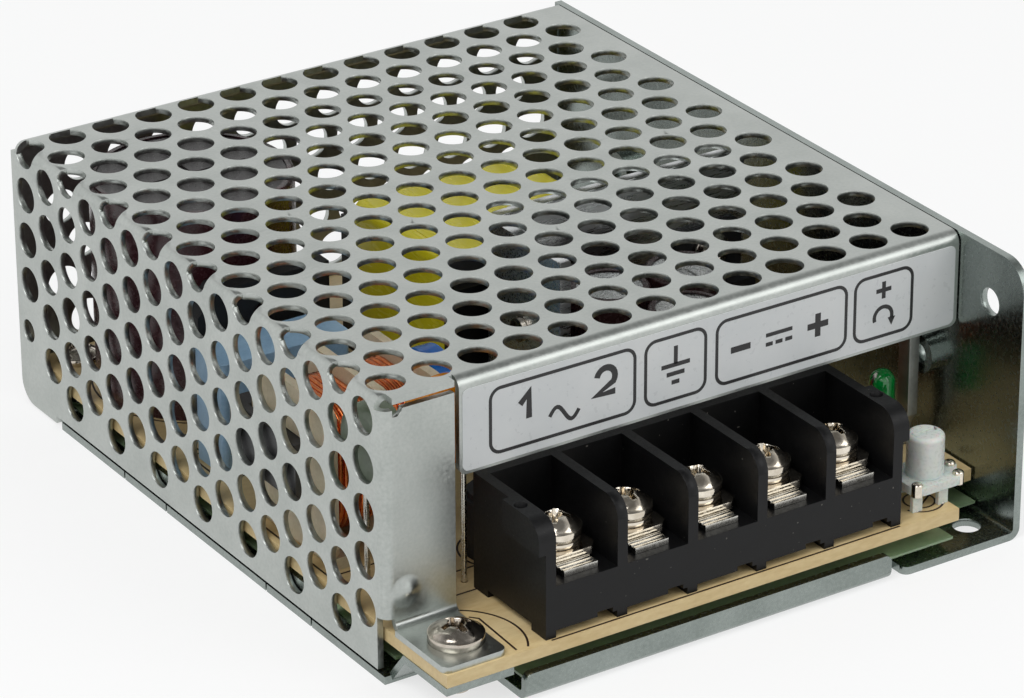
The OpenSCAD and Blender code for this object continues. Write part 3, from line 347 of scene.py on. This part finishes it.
# Leads are found by their feet: every face within a lead's radius of a foot is painted
def paintLeads(mesh, material):
    reach = {"foot": 0.05 * mm, "join": 0.9 * mm, "lead": 0.45 * mm}
    lowest = min(v.co.z for v in mesh.vertices)
    feet = []
    for vert in mesh.vertices:
        if vert.co.z < lowest + reach["foot"]:
            spot = vert.co.xy
            near = [f for f in feet if (sum(f, Vector((0, 0))) / len(f) - spot).length < reach["join"]]
            if near:
                near[0].append(spot)
            else:
                feet.append([spot])
    centres = [sum(f, Vector((0, 0))) / len(f) for f in feet]
    mesh.materials.append(material)
    for polygon in mesh.polygons:
        corners = [mesh.vertices[i].co.xy for i in polygon.vertices]
        if any(all((c - centre).length < reach["lead"] for c in corners) for centre in centres):
            polygon.material_index = 1


edgeWork = {"weld": 0.002, "flat": 0.4, "sharp": 32}  # millimetres, then two angles in degrees


# Modifiers weld a shape, clear its flat faces and break its sharp edges
def breakEdges(piece, edge):
    piece.modifiers.new("weld", "WELD").merge_threshold = edgeWork["weld"] * mm
    flatten = piece.modifiers.new("flat faces", "DECIMATE")
    flatten.decimate_type = "DISSOLVE"
    flatten.angle_limit = math.radians(edgeWork["flat"])
    flatten.delimit = {"MATERIAL"}
    bevel = piece.modifiers.new("broken edges", "BEVEL")
    bevel.width = edge * mm
    bevel.segments = 1
    bevel.limit_method = "ANGLE"
    bevel.angle_limit = math.radians(edgeWork["sharp"])
    bevel.use_clamp_overlap = True
    piece.modifiers.new("even normals", "WEIGHTED_NORMAL")


# Each node's material, its broken edge in mm, and whether it stands on tinned leads
dressed = {
    "chassis": (chassisSteel, 0.12, False), "mesh_cover": (galvanised, 0.12, False),
    "circuit_board": (phenolicBoard, 0.1, False), "insulating_film": (polyesterFilm, 0.0, False),
    "terminal_housing": (blackMoulding, 0.16, False), "terminal_plates": (tinned, 0.08, False),
    "earth_strap": (strapSteel, 0.15, False), "choke_core": (ferrite, 0.2, False),
    "choke_bobbin": (creamNylon, 0.15, True), "choke_windings": (enamelledCopper, 0.0, False),
    "line_capacitor": (paleBlueCase, 0.3, True), "bridge_rectifier": (blackEpoxy, 0.2, True),
    "bulk_can": (filmedCan, 0.12, True), "bulk_sleeve": (maroonSleeve, 0.0, False),
    "thermistor": (greyGreenDip, 0.0, True), "varistor": (orangeDip, 0.0, True),
    "fuse": (blackEpoxy, 0.2, True), "disc_capacitors": (blueDip, 0.0, True),
    "transformer_core": (ferrite, 0.2, False), "transformer_bobbin": (blackMoulding, 0.2, True),
    "transformer_tape": (yellowTape, 0.1, False), "heat_spreader": (millAluminium, 0.15, False),
    "switch_transistor": (blackEpoxy, 0.2, True), "output_rectifier": (blackEpoxy, 0.2, True),
    "output_choke_core": (ferrite, 0.15, True), "output_choke_winding": (enamelledCopper, 0.0, False),
    "optocoupler": (whiteEpoxy, 0.15, True), "control_chip": (blackEpoxy, 0.15, True),
    "resistors": (resistorCoat, 0.0, True), "status_led": (greenEpoxy, 0.0, True),
    "adjuster_body": (milkyAcetal, 0.1, True), "adjuster_knob": (milkyAcetal, 0.12, False),
    "cover_screw": (zincScrew, 0.1, False), "board_screws": (zincScrew, 0.1, False),
    "device_screws": (zincScrew, 0.1, False),
}
for k in range(1, 6):
    dressed[f"clamp_plate_{k}"] = (nickel, 0.08, False)
    dressed[f"lock_washer_{k}"] = (nickel, 0.08, False)
    dressed[f"terminal_screw_{k}"] = (nickel, 0.12, False)
for k in range(1, 4):
    dressed[f"output_can_{k}"] = (canAluminium, 0.1, True)
    dressed[f"output_sleeve_{k}"] = (brownSleeve, 0.0, False)
for name, (material, edge, leads) in dressed.items():
    mesh = nodes[name].data
    mesh.materials.clear()
    mesh.materials.append(material)
    if leads:
        paintLeads(mesh, tinned)
    if edge:
        breakEdges(nodes[name], edge)
print("nodes dressed:", len(dressed), "of", len(nodes))


def boxOf(name):
    low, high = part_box(name)
    return low / mm, high / mm


# The two chokes' windings, turn by turn
lineWire = {"section": 6.0, "wire": 0.75, "corner": 5.0, "depth": 1.2}
low, high = boxOf("choke_windings")
outline = roundBox(low.y, low.z, high.y, high.z, lineWire["corner"], 10)
bm = bmesh.new()
for start in (low.x, high.x - lineWire["section"]):
    windInto(bm, outline, lambda u, v, along: Vector((start + along, u, v)) * mm, lineWire["wire"],
             round(lineWire["section"] / lineWire["wire"]), lineWire["depth"])
makePiece("lineChokeTurns", "case", bm, [enamelledCopper], ["choke_windings"], 60)

outputWire = {"wire": 0.76, "depth": 1.0}
low, high = boxOf("output_choke_winding")
middle = (low + high) / 2
bm = bmesh.new()
windInto(bm, circlePoints(middle.x, middle.y, (high.x - low.x) / 2),
         lambda u, v, along: Vector((u, v, low.z + along)) * mm, outputWire["wire"],
         round((high.z - low.z) / outputWire["wire"]), outputWire["depth"])
makePiece("outputChokeTurns", "case", bm, [enamelledCopper], ["output_choke_winding"], 60)
print("wire turns wound")


# Adjuster knob with a shallow driver slot
knobSlot = {"cut": 1.0, "shown": 0.22, "near": 0.02}
knob = nodes["adjuster_knob"]
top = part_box("adjuster_knob")[1].z
bm = bmesh.new()
bm.from_mesh(knob.data)
bm.transform(knob.matrix_world)
for vert in bm.verts:
    if abs(vert.co.z - (top - knobSlot["cut"] * mm)) < knobSlot["near"] * mm:
        vert.co.z = top - knobSlot["shown"] * mm
breakEdges(makePiece("slottedKnob", "adjuster", bm, [milkyAcetal], ["adjuster_knob"]), 0.12)

# Metal terminals round the adjuster's plate: two in front and one on its lug
clip = {"radius": 0.72, "plate": 1.1, "dome": 0.42, "inset": 0.75, "below": 0.12, "lug": 0.7, "floor": 0.8}
low, high = boxOf("adjuster_body")
plateFloor = boxOf("adjuster_knob")[0].z + clip["floor"]
front = low.y + clip["inset"]
spots = [(low.x + clip["inset"], front), (high.x - clip["lug"] - clip["inset"], front),
         (high.x - clip["inset"], (low.y + high.y) / 2)]
rim = clip["plate"] + clip["below"]
dome = [(clip["radius"] * math.cos(a), rim + clip["dome"] * math.sin(a))
        for a in (math.radians(15 * k) for k in range(6))]
profile = [(0, -clip["below"]), (clip["radius"], -clip["below"])] + dome + [(0, rim + clip["dome"])]
bm = bmesh.new()
for x, y in spots:
    turnInto(bm, profile, Matrix.Translation(Vector((x, y, plateFloor)) * mm), 20)
makePiece("adjusterTerminals", "case", bm, [nickel])
print("adjuster made")


# Stamped dimple on the plain strip: a soft swelling that also runs into the corner fold
sheet = {"bay": 12.2, "fold": 1.5}
dimple = {"across": 3.0, "up": 4.9, "rise": 0.63, "reach": 2.2, "proud": 0.006, "margin": 0.12, "rings": 14,
          "spokes": 40}
boardTop = boxOf("circuit_board")[1].z
leftSide = cadLow.x / mm
stripFace = cadLow.y / mm + sheet["bay"]


def stripDepth(x):
    past = max(0, leftSide + sheet["fold"] - x)
    return sheet["fold"] - math.sqrt(sheet["fold"] ** 2 - past ** 2)


bm = bmesh.new()
loops = []
for ring in range(dimple["rings"] + 1):
    radius = dimple["reach"] * ring / dimple["rings"]
    lift = dimple["rise"] * (1 + math.cos(math.pi * ring / dimple["rings"])) / 2 + dimple["proud"]
    row = []
    for spoke in range(dimple["spokes"] if ring else 1):
        angle = 2 * math.pi * spoke / dimple["spokes"]
        x = max(leftSide + dimple["margin"], leftSide + dimple["across"] + radius * math.cos(angle))
        z = boardTop + dimple["up"] + radius * math.sin(angle)
        row.append(bm.verts.new(Vector((x, stripFace + stripDepth(x) - lift, z)) * mm))
    loops.append(row)
for one, two in zip(loops, loops[1:]):
    for k in range(dimple["spokes"]):
        corners = [one[k % len(one)], one[(k + 1) % len(one)], two[(k + 1) % len(two)], two[k]]
        bm.faces.new(list(dict.fromkeys(corners)))
bm.faces.new(reversed(loops[-1]))
makePiece("stampedDimple", "case", bm, [galvanised], sharp=80)


# The cover's rear left corner, drawn round where its three folds meet
corner = {"steps": 8, "thick": 0.8}
hub = Vector((leftSide + sheet["fold"], cadHigh.y / mm - sheet["fold"], cadHigh.z / mm - sheet["fold"]))


def cornerPoint(radius, turn, rise):
    return (hub + radius * Vector((-math.cos(rise) * math.cos(turn), math.cos(rise) * math.sin(turn),
                                   math.sin(rise)))) * mm


bm = bmesh.new()
quarter = math.pi / 2 / corner["steps"]
shells = [[[bm.verts.new(cornerPoint(radius, i * quarter, j * quarter)) for i in range(corner["steps"] + 1)]
           for j in range(corner["steps"] + 1)] for radius in (sheet["fold"], sheet["fold"] - corner["thick"])]
for shell in shells:
    for lower, upper in zip(shell, shell[1:]):
        for i in range(corner["steps"]):
            bm.faces.new((lower[i], lower[i + 1], upper[i + 1], upper[i]))
outer, inner = shells
for i in range(corner["steps"]):
    bm.faces.new((outer[0][i], outer[0][i + 1], inner[0][i + 1], inner[0][i]))
    for side in (0, -1):
        bm.faces.new((outer[i][side], outer[i + 1][side], inner[i + 1][side], inner[i][side]))
bmesh.ops.remove_doubles(bm, verts=bm.verts, dist=0.0005 * mm)
makePiece("rearCornerFold", "case", bm, [galvanised], sharp=50)
print("dimple and corner made")


# Transformer: a lap of tape and a bare label on its top
low, high = boxOf("transformer_tape")
lap = {"thick": 0.07, "side": 1.7, "inset": 0.25, "share": 0.52, "corner": 0.1}
topLabel = {"thick": 0.12, "left": 11, "right": 1.9, "front": 0.8, "rear": 8.4, "corner": 0.4}
tapeLift = 0.004


def onTape(u, v):
    return Vector((u, v, high.z + tapeLift)) * mm


layFilm("tapeLap", roundBox(low.x + lap["side"], low.y + lap["inset"], high.x - lap["side"],
                            low.y + (high.y - low.y) * lap["share"], lap["corner"], 2),
        onTape, Vector((0, 0, lap["thick"] * mm)), yellowTape)
layFilm("transformerLabel", roundBox(high.x - topLabel["left"], low.y + topLabel["front"],
                                     high.x - topLabel["right"], low.y + topLabel["rear"], topLabel["corner"], 4),
        onTape, Vector((0, 0, topLabel["thick"] * mm)), paperLabel)


# Painted rings on the four resistors
rings = {"x": 30.7, "stagger": 1.2, "y": 8.0, "step": 5.0, "rise": 1.5, "inner": 1.1, "outer": 1.23,
         "width": 0.5, "places": (-2.3, -1.1, 0.1, 1.9)}
bm = bmesh.new()
for k in range(4):
    axis = Matrix.Translation(Vector((rings["x"] + (k % 2) * rings["stagger"], rings["y"] + k * rings["step"],
                                      boardTop + rings["rise"])) * mm) @ Matrix.Rotation(math.radians(90), 4, "Y")
    for start in rings["places"]:
        end = start + rings["width"]
        turnInto(bm, [(rings["inner"], start), (rings["outer"], start), (rings["outer"], end),
                      (rings["inner"], end), (rings["inner"], start)], axis, 20)
makePiece("resistorRings", "case", bm, [resistorRing])
print("transformer and resistors marked")


# Component print on the board: outlines and rings only
boardPrint = {"line": 0.26, "ink": 0.02, "lift": 0.004, "margin": 0.6, "corner": 0.5}
screwMark = {"radius": 8.1, "turn": (-35, 58), "line": [(5.1, -4.6), (5.5, 3.8), (4.7, 4.7)]}
knobMark = {"centre": (-1, -0.4), "ring": 1.9, "bow": 2.9, "turn": (205, 335), "dot": (7.4, 6.9, 0.7),
            "bars": [[(-2.6, -1.5), (0.6, 0.6)], [(-2.2, -1.9), (0.9, 0.1)]]}
blockLine = {"left": 1.5, "right": 1.2, "before": 0.28}


def onBoard(u, v):
    return Vector((u, v, boardTop + boardPrint["lift"])) * mm


bm = bmesh.new()
for name in ("bulk_sleeve", "output_sleeve_1", "output_sleeve_2", "output_sleeve_3", "fuse"):
    low, high = boxOf(name)
    strokeInto(bm, circlePoints((low.x + high.x) / 2, (low.y + high.y) / 2,
                                (high.x - low.x) / 2 + boardPrint["margin"]), boardPrint["line"], onBoard, True)
for name in ("line_capacitor", "bridge_rectifier", "choke_bobbin", "varistor", "transformer_bobbin",
             "optocoupler", "control_chip"):
    low, high = boxOf(name)
    grow = boardPrint["margin"]
    strokeInto(bm, roundBox(low.x - grow, low.y - grow, high.x + grow, high.y + grow, boardPrint["corner"], 4),
               boardPrint["line"], onBoard, True)
low, high = boxOf("cover_screw")
screwX, screwY = (low.x + high.x) / 2, (low.y + high.y) / 2
strokeInto(bm, arcPoints(screwX, screwY, screwMark["radius"], *screwMark["turn"], 24), boardPrint["line"],
           onBoard)
strokeInto(bm, [(screwX + u, screwY + v) for u, v in screwMark["line"]], boardPrint["line"], onBoard)
low, high = boxOf("adjuster_knob")
knobX, knobY = (low.x + high.x) / 2, (low.y + high.y) / 2
markX, markY = knobX + knobMark["centre"][0], knobY + knobMark["centre"][1]
strokeInto(bm, circlePoints(markX, markY, knobMark["ring"], 32), boardPrint["line"], onBoard, True)
for bar in knobMark["bars"]:
    strokeInto(bm, [(knobX + u, knobY + v) for u, v in bar], boardPrint["line"], onBoard)
strokeInto(bm, arcPoints(markX, markY, knobMark["bow"], *knobMark["turn"], 16), boardPrint["line"], onBoard)
dotX, dotY, dotRadius = knobMark["dot"]
strokeInto(bm, circlePoints(knobX + dotX, knobY + dotY, dotRadius, 20), boardPrint["line"], onBoard, True)
low, high = boxOf("terminal_housing")
strokeInto(bm, [(low.x + blockLine["left"], low.y - blockLine["before"]),
                (high.x - blockLine["right"], low.y - blockLine["before"])], boardPrint["line"], onBoard)
thicken(bm, Vector((0, 0, boardPrint["ink"] * mm)))
makePiece("boardMarks", "case", bm, [boardInk])
print("board printed")


# Legend label on the cover's lip: plain numbers and signs
legend = {"left": -30.3, "right": 39.3, "bottom": 24.2, "top": 34.5, "radius": 0.8, "thick": 0.08,
          "ink": 0.02, "gap": 0.005, "line": 0.42, "bold": 0.8, "sign": 0.55, "thin": 0.5}
frames = {"sides": [(-26.6, -6.9), (-5.4, 3.0), (4.6, 23.2), (24.5, 32.9)], "low": 25.4, "high": 33.5,
          "radius": 1.4}


def onLip(u, v, out=legend["gap"]):
    return Vector((u, stripFace - out, v)) * mm


def onLabel(u, v):
    return onLip(u, v, legend["gap"] + legend["thick"])


layFilm("legendLabel", roundBox(legend["left"], legend["bottom"], legend["right"], legend["top"],
                                legend["radius"]), onLip, Vector((0, -legend["thick"] * mm, 0)), labelFilm)
bm = bmesh.new()
for left, right in frames["sides"]:
    strokeInto(bm, roundBox(left, frames["low"], right, frames["high"], frames["radius"]), legend["line"],
               onLabel, closed=True)
strokes = [
    (legend["bold"], [(-22.6, 30.6), (-21.4, 31.8), (-21.4, 28.6)]),  # terminal 1
    (legend["bold"], arcPoints(-10.9, 30.8, 1.25, 170, -35, 12) + [(-12.2, 28.8), (-9.6, 28.8)]),  # terminal 2
    (legend["thin"], [(-18.6 + 0.25 * i, 27.9 + math.sin(math.pi * i / 8)) for i in range(17)]),  # mains wave
    (legend["sign"], [(-1.2, 32.2), (-1.2, 29.9)]),  # earth
    (legend["sign"], [(-3.2, 29.8), (0.8, 29.8)]),
    (legend["sign"], [(-2.45, 28.7), (0.05, 28.7)]),
    (legend["sign"], [(-1.75, 27.6), (-0.65, 27.6)]),
    (legend["bold"], [(6.6, 29.4), (9.4, 29.4)]),  # minus
    (legend["bold"], [(17.6, 29.4), (20.6, 29.4)]),  # plus
    (legend["bold"], [(19.1, 30.9), (19.1, 29.8)]),
    (legend["bold"], [(19.1, 29.0), (19.1, 27.9)]),
    (legend["thin"], [(11.6, 30.0), (15.4, 30.0)]),  # direct current
    (legend["thin"], [(11.6, 28.8), (12.6, 28.8)]),
    (legend["thin"], [(13.0, 28.8), (14.0, 28.8)]),
    (legend["thin"], [(14.4, 28.8), (15.4, 28.8)]),
    (legend["sign"], [(27.6, 31.4), (29.8, 31.4)]),  # adjust: a plus over a turning arrow
    (legend["sign"], [(28.7, 32.5), (28.7, 31.675)]),
    (legend["sign"], [(28.7, 31.125), (28.7, 30.3)]),
    (legend["thin"], arcPoints(28.7, 27.9, 1.3, 200, -20, 18)),
]
for width, points in strokes:
    strokeInto(bm, points, width, onLabel)
bm.faces.new([bm.verts.new(onLabel(*p)) for p in ((29.4, 27.6), (30.5, 27.6), (29.95, 26.5))])
thicken(bm, Vector((0, -legend["ink"] * mm, 0)))
makePiece("legendMarks", "case", bm, [labelInk])
print("legends made")


# Camera: a long lens, from the front left and above
camera = bpy.data.objects.new("camera", bpy.data.cameras.new("camera"))
scene.collection.objects.link(camera)
scene.camera = camera
view = {"place": (-294.539, -452.237, 281.302), "right": (0.83447295, -0.55104725, -0.00134922),
        "down": (-0.24055047, -0.36207018, -0.90057795), "ahead": (0.49577249, 0.7518325, -0.43469245),
        "sensor": 36, "lens": 173.24, "shift": (-0.01954, -0.0337), "near": 0.05, "far": 20}
axes = Matrix([view["right"], [-c for c in view["down"]], [-c for c in view["ahead"]]]).transposed()
camera.matrix_world = Matrix.Translation(Vector(view["place"]) * mm) @ axes.to_4x4()
camera.data.sensor_width = view["sensor"]
camera.data.lens = view["lens"]
camera.data.shift_x, camera.data.shift_y = view["shift"]
camera.data.clip_start = view["near"]
camera.data.clip_end = view["far"]

# Two large soft lamps: place and size in metres, power in watts; and the even light all round
light = {"key": ((-0.45, -0.25, 0.75), 0.5, 3.0), "fill": ((0.4, -0.6, 0.5), 0.5, 1.2), "ambient": 0.62}
aim = Vector((0, 0, 18 * mm))
for name in ("key", "fill"):
    place, size, power = light[name]
    lamp = bpy.data.objects.new(name, bpy.data.lights.new(name, "AREA"))
    lamp.data.size = size
    lamp.data.energy = power
    lamp.location = place
    lamp.rotation_mode = "QUATERNION"
    lamp.rotation_quaternion = (aim - Vector(place)).to_track_quat("-Z", "Y")
    scene.collection.objects.link(lamp)


def rayShare(tree, *kinds):
    path = addNode(tree, "ShaderNodeLightPath").outputs
    share = path[kinds[0]]
    for kind in kinds[1:]:
        share = addNode(tree, "ShaderNodeMath", {"operation": "MAXIMUM"}, {0: share, 1: path[kind]}).outputs[0]
    return share


# White behind the object, an even light on it, and a ceiling that metal mirrors as dark overhead
world = bpy.data.worlds.new("studio")
scene.world = world
world.use_nodes = True
tree = world.node_tree
tree.nodes.clear()
ceiling = {"start": 0.55, "end": 0.9, "dark": 0.16}
direction = addNode(tree, "ShaderNodeTexCoord").outputs["Generated"]
height = addNode(tree, "ShaderNodeSeparateXYZ", None, {0: direction}).outputs["Z"]
mirrored = addNode(tree, "ShaderNodeMapRange", {"From Min": ceiling["start"], "From Max": ceiling["end"],
                                                "To Min": 1.0, "To Max": ceiling["dark"]},
                   {"Value": height}).outputs[0]
ambient = addNode(tree, "ShaderNodeBackground", {"Color": linearColour("#f0f2f2"), "Strength": light["ambient"]})
mirror = addNode(tree, "ShaderNodeBackground", {"Color": (1, 1, 1, 1)}, {"Strength": mirrored})
backdrop = addNode(tree, "ShaderNodeBackground", {"Color": (1, 1, 1, 1), "Strength": 1.0})
unseen = addNode(tree, "ShaderNodeMixShader", None,
                 {0: rayShare(tree, "Is Glossy Ray"), 1: ambient.outputs[0], 2: mirror.outputs[0]})
mixed = addNode(tree, "ShaderNodeMixShader", None,
                {0: rayShare(tree, "Is Camera Ray", "Is Transmission Ray"), 1: unseen.outputs[0],
                 2: backdrop.outputs[0]})
addNode(tree, "ShaderNodeOutputWorld", None, {"Surface": mixed.outputs[0]})

# White paper: bright where it is seen or mirrored, greyer in the light that it throws back up
sheetFloor = {"half": 4, "drop": 0.02, "bright": 0.68, "grey": 0.45}
bm = bmesh.new()
bmesh.ops.create_grid(bm, x_segments=8, y_segments=8, size=sheetFloor["half"])
mesh = bpy.data.meshes.new("floor")
bm.to_mesh(mesh)
bm.free()
floor = bpy.data.objects.new("floor", mesh)
scene.collection.objects.link(floor)
floor.location.z = -sheetFloor["drop"] * mm
paper = bpy.data.materials.new("white paper floor")
paper.use_nodes = True
tree = paper.node_tree
tree.nodes.clear()
lit = addNode(tree, "ShaderNodeBsdfDiffuse", {"Color": (1, 1, 1, 1)})
bare = addNode(tree, "ShaderNodeEmission", {"Color": (1, 1, 1, 1), "Strength": 1.0})
half = addNode(tree, "ShaderNodeMixShader", {0: sheetFloor["bright"]}, {1: lit.outputs[0], 2: bare.outputs[0]})
shade = sheetFloor["grey"]
grey = addNode(tree, "ShaderNodeBsdfDiffuse", {"Color": (shade, shade, shade, 1)})
both = addNode(tree, "ShaderNodeMixShader", None,
               {0: rayShare(tree, "Is Camera Ray", "Is Glossy Ray", "Is Transmission Ray"),
                1: grey.outputs[0], 2: half.outputs[0]})
addNode(tree, "ShaderNodeOutputMaterial", None, {"Surface": both.outputs[0]})
mesh.materials.append(paper)
scene.view_settings.view_transform = "Standard"
print("camera, lights and floor set")
